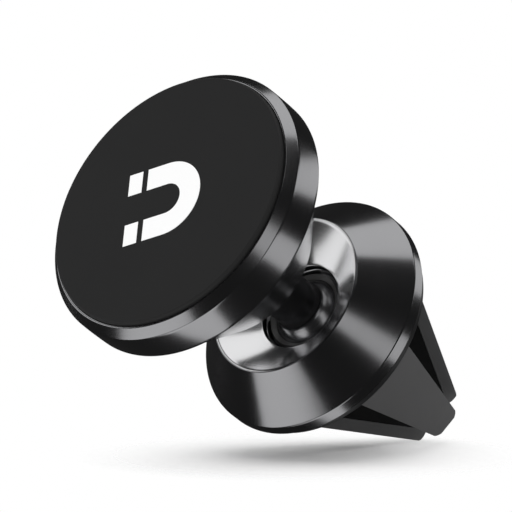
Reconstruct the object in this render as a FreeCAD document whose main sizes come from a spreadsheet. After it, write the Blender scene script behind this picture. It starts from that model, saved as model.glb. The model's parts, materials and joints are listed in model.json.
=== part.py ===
import FreeCAD, Part
import math
import os

import Sketcher
from FreeCAD import Placement, Rotation, Vector

# A magnetic phone mount that clips on one blade of a car's air vent.
# Frame: +Y runs along the mount's axis from the phone's face into the vent, +Z is up.
# The origin is the point between the jaw tips where they hold the blade.

DIMENSIONS = [
    # name, millimetres (degrees for the angles), what it is
    ("grip_reach", 28.5, "knob's wide edge to the blade"),
    ("head_gap", 13.9, "back of the head to the knob's wide edge"),
    ("head_diameter", 40.0, "crown of the bezel's band"),
    ("knob_diameter", 35.0, "knob over its band"),
    # magnetic head
    ("lip_step", 1.2, "bezel's front lip inside the band's crown"),
    ("lip_wall", 0.3, "bezel's wall at its front lip"),
    ("pad_proud", 0.75, "pad's face in front of the lip"),
    ("pad_thickness", 1.6, "face pad"),
    ("pad_edge_radius", 0.3, "rounding of the pad's rim"),
    ("bezel_chamfer", 1.2, "axial length of the bezel's front bevel"),
    ("band_drop", 0.25, "band's ends below its crown"),
    ("band_width", 4.75, "bezel's band along the axis"),
    ("groove_width", 0.9, "groove between bezel and back shell"),
    ("shell_step", 1.05, "back shell beside the groove, inside the band's crown"),
    ("shell_length", 11.8, "back shell's cone along the axis"),
    ("shell_rear_diameter", 20.0, "back shell's small end"),
    ("shell_edge_radius", 1.6, "rounding of the shell's small end"),
    ("shell_wall", 1.7, "back shell's wall"),
    ("shell_floor", 2.2, "back shell's rear wall"),
    ("emblem_radius", 5.6, "outer bend of the printed horseshoe"),
    ("emblem_arm", 3.3, "width of the horseshoe's arms"),
    ("emblem_leg", 3.4, "straight part of each arm"),
    ("emblem_gap", 0.9, "gap between an arm and its pole tip"),
    ("emblem_pole", 2.2, "length of each pole tip"),
    ("emblem_depth", 0.2, "depth of the printed inlay"),
    ("tape_thickness", 0.2, "adhesive disc under the pad"),
    ("carrier_thickness", 3.0, "plastic magnet carrier"),
    ("magnet_web", 2.5, "carrier between two magnets"),
    ("magnet_thickness", 2.8, "one disc magnet"),
    ("carrier_wall", 2.35, "carrier outside the magnets"),
    ("yoke_thickness", 1.0, "steel plate behind the magnets"),
    ("yoke_screw_offset", 2.0, "plate's screws outside the magnets' circle"),
    ("yoke_screw_diameter", 2.0, "screw's shank"),
    ("yoke_screw_head", 3.4, "screw's head across"),
    ("yoke_screw_length", 3.6, "screw under its head"),
    ("head_height", 1.1, "height of a screw's head"),
    ("boss_diameter", 4.4, "screw boss inside the back shell"),
    # ball joint
    ("neck_diameter", 6.9, "stem between head and ball"),
    ("ball_diameter", 12.0, "ball on the stem"),
    ("shank_diameter", 4.4, "stem's end inside the head"),
    ("bush_wall", 0.9, "bush round the shank"),
    ("bush_flange", 9.4, "bush's flange across"),
    ("flange_thickness", 0.8, "bush's flange"),
    ("running_gap", 0.05, "radial clearance of a turning fit"),
    ("end_gap", 0.1, "axial clearance of a turning fit"),
    ("stud_screw_diameter", 2.5, "screw in the stem's end"),
    ("stud_screw_head", 5.0, "head of that screw across"),
    ("stud_screw_length", 6.0, "that screw under its head"),
    ("washer_diameter", 7.4, "washer under that screw"),
    ("washer_thickness", 0.5, "washer under that screw"),
    ("liner_thickness", 0.8, "nylon liner round the ball"),
    ("liner_mouth_angle", 54.0, "liner's front edge from the axis"),
    ("liner_tail_angle", 40.0, "liner's rear edge from the axis"),
    ("cap_mouth_angle", 60.0, "socket cap's edge from the axis"),
    ("cap_wall", 1.0, "socket cap's wall round the liner"),
    ("cap_lip", 0.4, "socket cap's face in front of its mouth"),
    # knob
    ("cone_length", 5.8, "knob's cone along the axis"),
    ("dish_diameter", 23.8, "lip of the knob's dish"),
    ("dish_depth", 3.6, "dish's floor behind its lip"),
    ("dish_hole_diameter", 13.6, "hole the stem passes through"),
    ("dish_bow", 0.85, "how far the dish's wall is hollowed"),
    ("lip_width", 0.3, "flat of the dish's lip"),
    ("rim_width", 1.85, "knob's cylindrical band"),
    ("rim_wall", 1.3, "knob's wall round the rear ring"),
    ("dish_wall", 0.85, "knob's front wall at the hole"),
    ("thread_wall", 1.7, "hub's threaded wall round the socket cap"),
    ("thread_pitch", 1.0, "knob's travel in one turn"),
    ("insert_wall", 1.65, "brass thread insert"),
    ("insert_turns", 3.9, "turns of thread in the insert"),
    ("drag_ring_thickness", 0.25, "rubber washer behind the dish"),
    ("rear_ring_step", 0.85, "black ring behind the knob, inside its band"),
    ("rear_ring_length", 1.65, "that ring behind the knob's band"),
    ("rear_ring_wall", 1.2, "that ring's spigot"),
    ("rear_ring_lip", 0.55, "lip that holds the closing ring in"),
    ("closing_ring_length", 1.95, "ring that presses the jaws"),
    ("closing_tab_width", 10.2, "tabs between the jaws"),
    ("closing_tab_length", 2.1, "tabs between the jaws"),
    ("closing_tab_height", 1.6, "tabs between the jaws"),
    ("ring_gap", 0.15, "radial clearance of the closing ring"),
    # clip
    ("hub_end_wall", 1.2, "hub's rear wall behind the liner"),
    ("hub_waist_wall", 1.5, "hub's wall between the jaws"),
    ("hub_tail_diameter", 10.0, "hub's rear face"),
    ("pivot_depth", 4.8, "jaw pivots behind the knob's wide edge"),
    ("pivot_rise", 1.8, "jaw pivots outside the hub's waist"),
    ("pin_diameter", 1.5, "jaw pivot pin"),
    ("lug_radius", 1.3, "round of the hub's ears and jaw tongues"),
    ("ear_thickness", 1.4, "one ear of the hub"),
    ("tongue_width", 4.8, "jaw's tongue between the ears"),
    ("side_gap", 0.2, "clearance beside the tongue"),
    ("spreader_depth", 7.5, "spreader ring behind the knob's wide edge"),
    ("spreader_sink", 0.2, "spreader ring's centre line inside the hub's waist"),
    ("spreader_thickness", 1.8, "spreader ring's section"),
    ("heel_depth", 2.2, "jaw's heel behind the knob's wide edge"),
    ("jaw_length", 29.5, "jaw from heel to tip"),
    ("heel_rise", 0.05, "jaw's outer face outside the rear ring's lip, at the heel"),
    ("tip_radius", 3.7, "jaw's outer face from the axis, at the tip"),
    ("heel_width", 11.2, "jaw across its outer face, at the heel"),
    ("tip_width", 4.3, "jaw across its outer face, at the tip"),
    ("jaw_plate_thickness", 1.4, "jaw's hard plastic plate"),
    ("heel_gap", 0.3, "jaw's heel inside the rear ring's lip"),
    ("heel_relief_length", 2.4, "length of that relief"),
    ("toe_radius", 1.4, "jaw tip seen from the side"),
    ("toe_plan_radius", 2.6, "jaw tip seen from outside"),
    ("grip_start", 9.4, "rubber grip's start from the heel"),
    ("grip_end", 1.6, "rubber grip's end before the tip"),
    ("grip_keel", 1.0, "rubber grip's innermost width"),
]
MAGNET_COUNT = 6
YOKE_SCREW_COUNT = 3
JAW_COUNT = 4
FULL_TURN = 360
SHEET = "Sizes"


class Size:
    """A size that keeps its number beside its expression in the sheet's names."""

    def __init__(self, value, text):
        self.value = float(value)
        self.text = text

    def __add__(self, other):
        other = size(other)
        return Size(self.value + other.value, f"({self.text} + {other.text})")

    def __sub__(self, other):
        other = size(other)
        return Size(self.value - other.value, f"({self.text} - {other.text})")

    def __mul__(self, other):
        other = size(other)
        return Size(self.value * other.value, f"({self.text} * {other.text})")

    def __truediv__(self, other):
        other = size(other)
        return Size(self.value / other.value, f"({self.text} / {other.text})")

    def __neg__(self):
        return Size(-self.value, f"(0 - {self.text})")


def size(value):
    """Give a plain number the same form as a sheet size."""
    return value if isinstance(value, Size) else Size(value, repr(float(value)))


def root(number):
    return Size(math.sqrt(number.value), f"sqrt({number.text})")


def cosine(angle):
    return Size(math.cos(math.radians(angle.value)), f"cos({angle.text} * 1deg)")


def sine(angle):
    return Size(math.sin(math.radians(angle.value)), f"sin({angle.text} * 1deg)")


doc = FreeCAD.newDocument("VentMount")
sheet = doc.addObject("Spreadsheet::Sheet", SHEET)
dim = {}
for row, (name, number, meaning) in enumerate(DIMENSIONS, start=1):
    sheet.set(f"A{row}", name)
    sheet.set(f"B{row}", repr(number))
    sheet.set(f"C{row}", meaning)
    sheet.setAlias(f"B{row}", name)
    dim[name] = Size(number, f"{SHEET}.{name}")
doc.recompute()


# ---- stations along the axis, from the phone to the vent ----
knob_edge_y = -dim["grip_reach"]
shell_rear_y = knob_edge_y - dim["head_gap"]
groove_rear_y = shell_rear_y - dim["shell_length"]
band_rear_y = groove_rear_y - dim["groove_width"]
band_front_y = band_rear_y - dim["band_width"]
lip_y = band_front_y - dim["bezel_chamfer"]
pad_face_y = lip_y - dim["pad_proud"]
tape_y = pad_face_y + dim["pad_thickness"]
carrier_y = tape_y + dim["tape_thickness"]
yoke_y = carrier_y + dim["carrier_thickness"]
shell_front_y = yoke_y + dim["yoke_thickness"]
shell_floor_y = shell_rear_y - dim["shell_floor"]
bush_front_y = shell_floor_y - dim["flange_thickness"]
stud_shoulder_y = shell_rear_y + dim["end_gap"]
stud_end_y = bush_front_y - dim["end_gap"]
washer_y = stud_end_y - dim["washer_thickness"]
dish_lip_y = knob_edge_y - dim["cone_length"]
dish_floor_y = dish_lip_y + dim["dish_depth"]
dish_wall_y = dish_floor_y + dim["dish_wall"]
hub_front_y = dish_wall_y + dim["drag_ring_thickness"] + dim["end_gap"] / 2
rim_rear_y = knob_edge_y + dim["rim_width"]
ring_rear_y = rim_rear_y + dim["rear_ring_length"]
closing_front_y = knob_edge_y + dim["end_gap"]
closing_rear_y = closing_front_y + dim["closing_ring_length"]
heel_y = knob_edge_y + dim["heel_depth"]
thread_rear_y = heel_y + dim["lug_radius"] / 2
pivot_y = knob_edge_y + dim["pivot_depth"]
tip_y = heel_y + dim["jaw_length"]

# ---- radii shared by pieces that fit together ----
head_r = dim["head_diameter"] / 2
lip_r = head_r - dim["lip_step"]
bezel_bore_r = lip_r - dim["lip_wall"]
pad_r = bezel_bore_r - dim["running_gap"]
carrier_r = pad_r - dim["end_gap"]
magnet_share = sine(size(FULL_TURN / MAGNET_COUNT / 2))
magnet_circle_r = (carrier_r - dim["carrier_wall"] + dim["magnet_web"] / 2) / (magnet_share + 1)
magnet_r = magnet_circle_r * magnet_share - dim["magnet_web"] / 2
screw_circle_r = magnet_circle_r + dim["yoke_screw_offset"]
shell_rear_r = dim["shell_rear_diameter"] / 2
shell_front_r = head_r - dim["shell_step"]
neck_r = dim["neck_diameter"] / 2
ball_r = dim["ball_diameter"] / 2
shank_r = dim["shank_diameter"] / 2
bush_bore_r = shank_r + dim["running_gap"]
bush_r = bush_bore_r + dim["bush_wall"]
liner_bore_r = ball_r + dim["running_gap"]
liner_r = liner_bore_r + dim["liner_thickness"]
socket_r = liner_r + dim["running_gap"]
cap_r = socket_r + dim["cap_wall"]
thread_r = cap_r + dim["thread_wall"]
insert_bore_r = thread_r + dim["running_gap"]
insert_r = insert_bore_r + dim["insert_wall"]
knob_r = dim["knob_diameter"] / 2
knob_bore_r = knob_r - dim["rim_wall"]
spigot_bore_r = knob_bore_r - dim["rear_ring_wall"]
rear_lip_r = spigot_bore_r - dim["rear_ring_lip"]
closing_bore_r = insert_r + dim["ring_gap"]
closing_r = spigot_bore_r - dim["ring_gap"]
hub_waist_r = socket_r + dim["hub_waist_wall"]
pivot_r = hub_waist_r + dim["pivot_rise"]
spreader_r = dim["spreader_thickness"] / 2
spreader_circle_r = hub_waist_r - dim["spreader_sink"]
heel_r = rear_lip_r + dim["heel_rise"]

# ---- the ball's centre, where the cap's mouth holds the liner ----
ball_y = hub_front_y + dim["cap_lip"] + socket_r * cosine(dim["cap_mouth_angle"])
hub_rear_y = ball_y + socket_r + dim["hub_end_wall"]


# ---- ways of making a piece ----
def origin_feature(body, role):
    """Find one of a body's own origin planes or axes."""
    return next(f for f in body.Origin.OriginFeatures if f.Role == role)


def new_body(label):
    body = doc.addObject("PartDesign::Body", label)
    body.Label = label
    return body


def new_sketch(body, name, plane, offset=None):
    """Attach a sketch to one of the body's own planes, offset along its normal."""
    sketch = body.newObject("Sketcher::SketchObject", name)
    sketch.AttachmentSupport = [(origin_feature(body, plane), "")]
    sketch.MapMode = "FlatFace"
    if offset is not None:
        sketch.AttachmentOffset = Placement(Vector(0, 0, offset.value), Rotation())
        sketch.setExpression("AttachmentOffset.Base.z", offset.text)
    return sketch


def pin_point(sketch, geometry, place, across, along):
    """Tie one point of a sketch to the sketch's origin by two sizes."""
    for kind, distance in (("DistanceX", size(across)), ("DistanceY", size(along))):
        number = sketch.addConstraint(
            Sketcher.Constraint(kind, -1, 1, geometry, place, distance.value)
        )
        sketch.setExpression(f"Constraints[{number}]", distance.text)


def draw(sketch, outline):
    """Draw a closed outline of (across, along) points.

    A point written as ("arc", across, along) is one that the edge from the point
    before it to the point after it bends through.
    """
    edges = []
    corners = [entry for entry in outline if entry[0] != "arc"]
    step = 0
    for index, entry in enumerate(outline):
        if entry[0] == "arc":
            continue
        follower = outline[(index + 1) % len(outline)]
        finish = corners[(step + 1) % len(corners)]
        start = Vector(size(entry[0]).value, size(entry[1]).value, 0)
        end = Vector(size(finish[0]).value, size(finish[1]).value, 0)
        if follower[0] == "arc":
            middle = Vector(size(follower[1]).value, size(follower[2]).value, 0)
            edge = sketch.addGeometry(Part.Arc(start, middle, end), False)
            # A sketch counts an arc's ends anticlockwise.
            flipped = (middle - start).cross(end - middle).z < 0
            via = sketch.addGeometry(Part.Point(middle), True)
            pin_point(sketch, via, 1, follower[1], follower[2])
            sketch.addConstraint(Sketcher.Constraint("PointOnObject", via, 1, edge))
        else:
            edge = sketch.addGeometry(Part.LineSegment(start, end), False)
            flipped = False
        edges.append((edge, 2 if flipped else 1, 1 if flipped else 2, entry))
        step += 1
    for index, (edge, _, last, _) in enumerate(edges):
        following, first, _, entry = edges[(index + 1) % len(edges)]
        sketch.addConstraint(Sketcher.Constraint("Coincident", edge, last, following, first))
        pin_point(sketch, following, first, entry[0], entry[1])


def turned(label, outline):
    """Revolve an outline of (radius, axial) points about the mount's axis."""
    body = new_body(label)
    sketch = new_sketch(body, label + "_outline", "XY_Plane")
    draw(sketch, outline)
    feature = body.newObject("PartDesign::Revolution", label + "_turned")
    feature.Profile = sketch
    feature.ReferenceAxis = (sketch, ["V_Axis"])
    feature.Angle = FULL_TURN
    sketch.Visibility = False
    return body


def disc(label, radius, front, back, bore=None):
    """A flat disc or ring between two stations on the axis."""
    inner = size(0) if bore is None else bore
    return turned(label, [(inner, front), (radius, front), (radius, back), (inner, back)])


def pad(body, name, sketch, width):
    """Thicken a sketch equally to both sides of its plane."""
    feature = body.newObject("PartDesign::Pad", name)
    feature.Profile = sketch
    feature.setExpression("Length", width.text)
    feature.Midplane = True
    return feature


def pocket(body, name, sketch, width):
    """Cut a sketch equally to both sides of its plane."""
    feature = body.newObject("PartDesign::Pocket", name)
    feature.Profile = sketch
    feature.setExpression("Length", width.text)
    feature.Midplane = True
    return feature


def ring_pattern(body, name, features, count):
    """Repeat features round the mount's axis."""
    doc.recompute()
    pattern = body.newObject("PartDesign::PolarPattern", name)
    pattern.Originals = features
    pattern.Axis = (origin_feature(body, "Y_Axis"), [""])
    pattern.Angle = FULL_TURN
    pattern.Occurrences = count
    body.Tip = pattern
    return pattern


def round_edges(body, name, edges, radius):
    """Fillet the edges, named in the body's present shape."""
    base = body.Tip
    feature = body.newObject("PartDesign::Fillet", name)
    feature.Base = (base, edges)
    feature.setExpression("Radius", radius.text)
    body.Tip = feature
    return feature


def circle_edges(body, radius, station):
    """Find the names of the body's circles of one radius at one station."""
    doc.recompute()
    names = []
    for index, edge in enumerate(body.Tip.Shape.Edges, start=1):
        if not isinstance(edge.Curve, Part.Circle):
            continue
        near = abs(edge.Curve.Radius - radius.value) < 0.01
        if near and abs(edge.Curve.Center.y - station.value) < 0.01:
            names.append(f"Edge{index}")
    return names


def rod(label, radius, front, length):
    """A plain cylinder along the axis direction, to be placed by its circle."""
    piece = doc.addObject("Part::Cylinder", label)
    piece.setExpression("Radius", radius.text)
    piece.setExpression("Height", length.text)
    piece.Placement = Placement(Vector(0, 0, 0), Rotation(Vector(1, 0, 0), -90))
    piece.setExpression("Placement.Base.y", front.text)
    return piece


def rods_on_circle(label, radius, front, length, circle_r, count, phase=0.0):
    """Cylinders along the axis, spaced evenly on a circle round it."""
    rods = []
    for index in range(count):
        angle = phase + index * FULL_TURN / count
        piece = rod(f"{label}_{index + 1}", radius, front, length)
        across = circle_r * math.sin(math.radians(angle))
        upward = circle_r * math.cos(math.radians(angle))
        piece.setExpression("Placement.Base.x", across.text)
        piece.setExpression("Placement.Base.z", upward.text)
        rods.append(piece)
    return rods


def group(label, pieces):
    """Several separate solids that share one node."""
    compound = doc.addObject("Part::Compound", label)
    compound.Links = pieces
    compound.Label = label
    return compound


def joined(label, pieces):
    fusion = doc.addObject("Part::MultiFuse", label)
    fusion.Shapes = pieces
    fusion.Label = label
    return fusion


def cut_away(label, base, tool):
    cut = doc.addObject("Part::Cut", label)
    cut.Base = base
    cut.Tool = tool
    cut.Label = label
    return cut


# ---- magnetic head ----
def make_emblem():
    """A plain printed horseshoe magnet, made of a bow and two pole tips."""
    outer = dim["emblem_radius"]
    inner = outer - dim["emblem_arm"]
    leg = dim["emblem_leg"]
    bow = new_body("emblem_bow")
    sketch = new_sketch(bow, "emblem_bow_outline", "XZ_Plane", -pad_face_y)
    draw(sketch, [(-outer, -leg), (-outer, size(0)), ("arc", size(0), outer), (outer, size(0)),
                  (outer, -leg), (inner, -leg), (inner, size(0)), ("arc", size(0), inner),
                  (-inner, size(0)), (-inner, -leg)])
    bow_pad = bow.newObject("PartDesign::Pad", "emblem_bow_pad")
    bow_pad.Profile = sketch
    bow_pad.setExpression("Length", dim["emblem_depth"].text)
    bow_pad.Reversed = True
    tips = []
    for side, start in (("left", -outer), ("right", inner)):
        tip = doc.addObject("Part::Box", f"emblem_tip_{side}")
        tip.setExpression("Length", dim["emblem_arm"].text)
        tip.setExpression("Width", dim["emblem_depth"].text)
        tip.setExpression("Height", dim["emblem_pole"].text)
        tip.setExpression("Placement.Base.x", start.text)
        tip.setExpression("Placement.Base.y", pad_face_y.text)
        tip.setExpression("Placement.Base.z", (-leg - dim["emblem_gap"] - dim["emblem_pole"]).text)
        tips.append(tip)
    return group("emblem", [bow] + tips)


def make_face_pad(emblem):
    blank = disc("face_pad_blank", pad_r, pad_face_y, tape_y)
    round_edges(blank, "face_pad_rim", circle_edges(blank, pad_r, pad_face_y),
                dim["pad_edge_radius"])
    return cut_away("face_pad", blank, emblem)


def make_bezel():
    """Bezel: front bevel, crowned band and a plain bore for the pad and the shell."""
    band_r = head_r - dim["band_drop"]
    middle_y = (band_front_y + band_rear_y) / 2
    return turned("bezel_ring", [
        (bezel_bore_r, lip_y), (lip_r, lip_y),
        (band_r, band_front_y), ("arc", head_r, middle_y), (band_r, band_rear_y),
        (bezel_bore_r, band_rear_y),
    ])


def make_back_shell():
    """Hollow cone with a spigot in the bezel, three screw bosses and a bush hole."""
    spigot_r = bezel_bore_r
    cavity_r = spigot_r - dim["shell_wall"]
    slope = (shell_front_r - shell_rear_r) / dim["shell_length"]
    inner_rear_r = shell_rear_r - dim["shell_wall"] + slope * dim["shell_floor"]
    shell = turned("shell_wall", [
        (cavity_r, shell_front_y), (spigot_r, shell_front_y), (spigot_r, groove_rear_y),
        (shell_front_r, groove_rear_y), (shell_rear_r, shell_rear_y), (bush_r, shell_rear_y),
        (bush_r, shell_floor_y), (inner_rear_r, shell_floor_y), (cavity_r, groove_rear_y),
    ])
    round_edges(shell, "shell_rear_round", circle_edges(shell, shell_rear_r, shell_rear_y),
                dim["shell_edge_radius"])
    boss_length = dim["yoke_screw_length"] + dim["shell_wall"]
    bosses = rods_on_circle("shell_boss", dim["boss_diameter"] / 2, shell_front_y, boss_length,
                            screw_circle_r, YOKE_SCREW_COUNT, screw_phase())
    # The screw holes are as deep as the screws reach into the bosses.
    holes = rods_on_circle("shell_hole", dim["yoke_screw_diameter"] / 2, shell_front_y,
                           dim["yoke_screw_length"], screw_circle_r,
                           YOKE_SCREW_COUNT, screw_phase())
    arms = []
    for index in range(YOKE_SCREW_COUNT):
        arms.append(make_boss_arm(index, cavity_r, boss_length))
    cage = joined("shell_with_bosses", [shell] + bosses + arms)
    return cut_away("back_shell", cage, group("shell_holes", holes))


def make_boss_arm(index, cavity_r, boss_length):
    """A rib that ties one screw boss to the shell's wall."""
    angle = screw_phase() + index * FULL_TURN / YOKE_SCREW_COUNT
    body = new_body(f"boss_arm_{index + 1}")
    half = dim["yoke_screw_diameter"] / 2
    sketch = new_sketch(body, f"boss_arm_outline_{index + 1}", "XZ_Plane", -shell_front_y)
    bottom = screw_circle_r
    top = cavity_r + dim["shell_wall"] / 2
    draw(sketch, [(-half, bottom), (half, bottom), (half, top), (-half, top)])
    feature = body.newObject("PartDesign::Pad", f"boss_arm_pad_{index + 1}")
    feature.Profile = sketch
    feature.setExpression("Length", (groove_rear_y - shell_front_y).text)
    feature.Reversed = True
    body.Placement = Placement(Vector(0, 0, 0), Rotation(Vector(0, 1, 0), angle))
    return body


def screw_phase():
    """The plate's screws sit midway between two magnets."""
    return FULL_TURN / MAGNET_COUNT / 2


def make_magnets():
    return group("magnets", rods_on_circle(
        "magnet", magnet_r,
        carrier_y + dim["carrier_thickness"] - dim["magnet_thickness"],
        dim["magnet_thickness"], magnet_circle_r, MAGNET_COUNT))


def make_magnet_carrier():
    blank = disc("carrier_blank", carrier_r, carrier_y, yoke_y)
    pockets = rods_on_circle(
        "magnet_pocket", magnet_r + dim["running_gap"],
        carrier_y + dim["carrier_thickness"] - dim["magnet_thickness"],
        dim["magnet_thickness"], magnet_circle_r, MAGNET_COUNT)
    wells = rods_on_circle(
        "screw_well", dim["yoke_screw_head"] / 2 + dim["side_gap"],
        yoke_y - dim["head_height"] - dim["side_gap"],
        dim["head_height"] + dim["side_gap"], screw_circle_r, YOKE_SCREW_COUNT,
        screw_phase())
    return cut_away("magnet_carrier", blank, group("carrier_pockets", pockets + wells))


def make_yoke_plate():
    blank = disc("yoke_blank", carrier_r, yoke_y, shell_front_y)
    holes = rods_on_circle(
        "yoke_hole", dim["yoke_screw_diameter"] / 2 + dim["end_gap"], yoke_y,
        dim["yoke_thickness"], screw_circle_r, YOKE_SCREW_COUNT, screw_phase())
    return cut_away("yoke_plate", blank, group("yoke_holes", holes))


def make_yoke_screws():
    """Three screws whose heads stand in the carrier's wells."""
    shanks = rods_on_circle(
        "yoke_shank", dim["yoke_screw_diameter"] / 2, yoke_y,
        dim["yoke_thickness"] + dim["yoke_screw_length"] - dim["end_gap"], screw_circle_r,
        YOKE_SCREW_COUNT, screw_phase())
    heads = rods_on_circle(
        "yoke_head", dim["yoke_screw_head"] / 2, yoke_y - dim["head_height"],
        dim["head_height"], screw_circle_r, YOKE_SCREW_COUNT, screw_phase())
    screws = [joined(f"yoke_screw_{index + 1}", pair)
              for index, pair in enumerate(zip(heads, shanks))]
    return group("yoke_screws", screws)


def make_spin_bush():
    """Flanged bush that the stem's shank turns in."""
    flange_r = dim["bush_flange"] / 2
    return turned("spin_bush", [
        (bush_bore_r, bush_front_y), (flange_r, bush_front_y), (flange_r, shell_floor_y),
        (bush_r, shell_floor_y), (bush_r, shell_rear_y), (bush_bore_r, shell_rear_y),
    ])


# ---- ball stud ----
def make_ball_stud():
    """Ball, stem and shank in one piece, with a threaded hole in the shank's end."""
    neck_foot_y = ball_y - root(ball_r * ball_r - neck_r * neck_r)
    hole_r = dim["stud_screw_diameter"] / 2
    hole_end_y = washer_y + dim["stud_screw_length"]
    return turned("ball_stud", [
        (hole_r, stud_end_y), (shank_r, stud_end_y), (shank_r, stud_shoulder_y),
        (neck_r, stud_shoulder_y), (neck_r, neck_foot_y), ("arc", ball_r, ball_y),
        (size(0), ball_y + ball_r), (size(0), hole_end_y), (hole_r, hole_end_y),
    ])


def make_stud_screw():
    hole_r = dim["stud_screw_diameter"] / 2
    head_front_y = washer_y - dim["head_height"]
    end_y = washer_y + dim["stud_screw_length"] - dim["end_gap"]
    head = dim["stud_screw_head"] / 2
    return turned("stud_screw", [
        (size(0), head_front_y), (head, head_front_y), (head, washer_y), (hole_r, washer_y),
        (hole_r, end_y), (size(0), end_y),
    ])


def on_sphere(radius, angle, forward=True):
    """The (radius, axial) point on a sphere round the ball's centre, seen off the axis."""
    along = radius * cosine(angle)
    station = ball_y - along if forward else ball_y + along
    return (radius * sine(angle), station)


def make_ball_liner():
    """Nylon liner, open at the front for the stem and at the back."""
    mouth = dim["liner_mouth_angle"]
    tail = dim["liner_tail_angle"]
    return turned("ball_liner", [
        on_sphere(liner_bore_r, mouth), ("arc", liner_bore_r, ball_y),
        on_sphere(liner_bore_r, tail, False), on_sphere(liner_r, tail, False),
        ("arc", liner_r, ball_y), on_sphere(liner_r, mouth),
    ])


# ---- hub of the clip ----
def make_socket_cap():
    """Ring screwed into the hub in front of the liner, holding the ball in."""
    mouth = dim["cap_mouth_angle"]
    mouth_r, mouth_y = on_sphere(socket_r, mouth)
    half = mouth * 0.5 + 45
    return turned("socket_cap", [
        (mouth_r, mouth_y), (mouth_r + dim["cap_lip"], hub_front_y),
        (cap_r, hub_front_y), (cap_r, ball_y), (socket_r, ball_y),
        ("arc", *on_sphere(socket_r, half)),
    ])


def make_clip_hub():
    """Threaded socket with four pairs of ears for the jaws."""
    groove_half = spreader_r
    spreader_y = knob_edge_y + dim["spreader_depth"]
    floor_r = spreader_circle_r - spreader_r
    tail_y = spreader_y + groove_half + dim["side_gap"]
    hub = turned("clip_hub", [
        (cap_r, hub_front_y), (thread_r, hub_front_y), (thread_r, thread_rear_y),
        (hub_waist_r, thread_rear_y), (hub_waist_r, spreader_y - groove_half),
        (floor_r, spreader_y - groove_half), (floor_r, spreader_y + groove_half),
        (hub_waist_r, spreader_y + groove_half), (hub_waist_r, tail_y),
        (dim["hub_tail_diameter"] / 2, hub_rear_y), (size(0), hub_rear_y),
        (size(0), ball_y + socket_r), ("arc", *on_sphere(socket_r, size(45), False)),
        (socket_r, ball_y), (cap_r, ball_y),
    ])
    doc.recompute()
    ear = new_sketch(hub, "ear_outline", "YZ_Plane")
    lug = dim["lug_radius"]
    rise = pivot_r
    root_r = (hub_waist_r + socket_r) / 2
    draw(ear, [(pivot_y - lug, root_r), (pivot_y + lug, root_r), (pivot_y + lug, rise),
               ("arc", pivot_y, rise + lug), (pivot_y - lug, rise)])
    ears_width = dim["tongue_width"] + dim["side_gap"] * 2 + dim["ear_thickness"] * 2
    ears = pad(hub, "ears", ear, ears_width)
    doc.recompute()
    slot = new_sketch(hub, "slot_outline", "YZ_Plane")
    draw(slot, [(pivot_y - lug * 2, hub_waist_r), (pivot_y + lug * 2, hub_waist_r),
                (pivot_y + lug * 2, rise + lug * 2), (pivot_y - lug * 2, rise + lug * 2)])
    # The slot stops short of the thread, which runs round the hub unbroken.
    slots = pocket(hub, "tongue_slots", slot, dim["tongue_width"] + dim["side_gap"] * 2)
    doc.recompute()
    hole = new_sketch(hub, "pin_hole_outline", "YZ_Plane")
    add_circle(hole, pivot_y, rise, dim["pin_diameter"] / 2)
    holes = pocket(hub, "pin_holes", hole, ears_width + dim["side_gap"])
    ring_pattern(hub, "ears_round_hub", [ears, slots, holes], JAW_COUNT)
    hub.Placement = jaw_placement(0)
    return hub


def add_circle(sketch, across, along, radius):
    circle = sketch.addGeometry(
        Part.Circle(Vector(across.value, along.value, 0), Vector(0, 0, 1), radius.value), False)
    pin_point(sketch, circle, 3, across, along)
    number = sketch.addConstraint(Sketcher.Constraint("Radius", circle, radius.value))
    sketch.setExpression(f"Constraints[{number}]", radius.text)


def jaw_placement(index):
    """Turn a jaw from the +Z direction to its own place round the axis."""
    angle = FULL_TURN / JAW_COUNT * (index + 0.5)
    return Placement(Vector(0, 0, 0), Rotation(Vector(0, 1, 0), angle))


def make_jaw_pins():
    """Four pivot pins, each through its pair of ears."""
    pins = []
    for index in range(JAW_COUNT):
        body = new_body(f"jaw_pin_{index + 1}")
        sketch = new_sketch(body, f"jaw_pin_outline_{index + 1}", "YZ_Plane")
        add_circle(sketch, pivot_y, pivot_r, dim["pin_diameter"] / 2)
        width = dim["tongue_width"] + dim["side_gap"] * 2 + dim["ear_thickness"] * 2
        pad(body, f"jaw_pin_pad_{index + 1}", sketch, width)
        body.Placement = jaw_placement(index)
        pins.append(body)
    return group("jaw_pins", pins)


def make_spreader_ring():
    """Elastic ring in the hub's groove, which pushes the jaws apart."""
    ring = doc.addObject("Part::Torus", "spreader_ring")
    ring.setExpression("Radius1", spreader_circle_r.text)
    ring.setExpression("Radius2", spreader_r.text)
    ring.Placement = Placement(Vector(0, 0, 0), Rotation(Vector(1, 0, 0), -90))
    ring.setExpression("Placement.Base.y", (knob_edge_y + dim["spreader_depth"]).text)
    ring.Label = "spreader_ring"
    return ring


# ---- knob ----
def make_knob_shell():
    """Turned aluminium knob: dish, lip, cone, band and the recess behind them."""
    dish_lip_r = dim["dish_diameter"] / 2
    inner_lip_r = dish_lip_r - dim["lip_width"]
    hole_r = dim["dish_hole_diameter"] / 2
    half = size(0.5)
    bow = dim["dish_bow"]
    middle_r = (hole_r + inner_lip_r) * half + bow
    middle_y = (dish_floor_y + dish_lip_y) * half + bow
    return turned("knob_shell", [
        (hole_r, dish_floor_y), ("arc", middle_r, middle_y), (inner_lip_r, dish_lip_y),
        (dish_lip_r, dish_lip_y), (knob_r, knob_edge_y), (knob_r, rim_rear_y),
        (knob_bore_r, rim_rear_y), (knob_bore_r, knob_edge_y), (insert_r, knob_edge_y),
        (insert_r, dish_wall_y), (hole_r, dish_wall_y),
    ])


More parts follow.
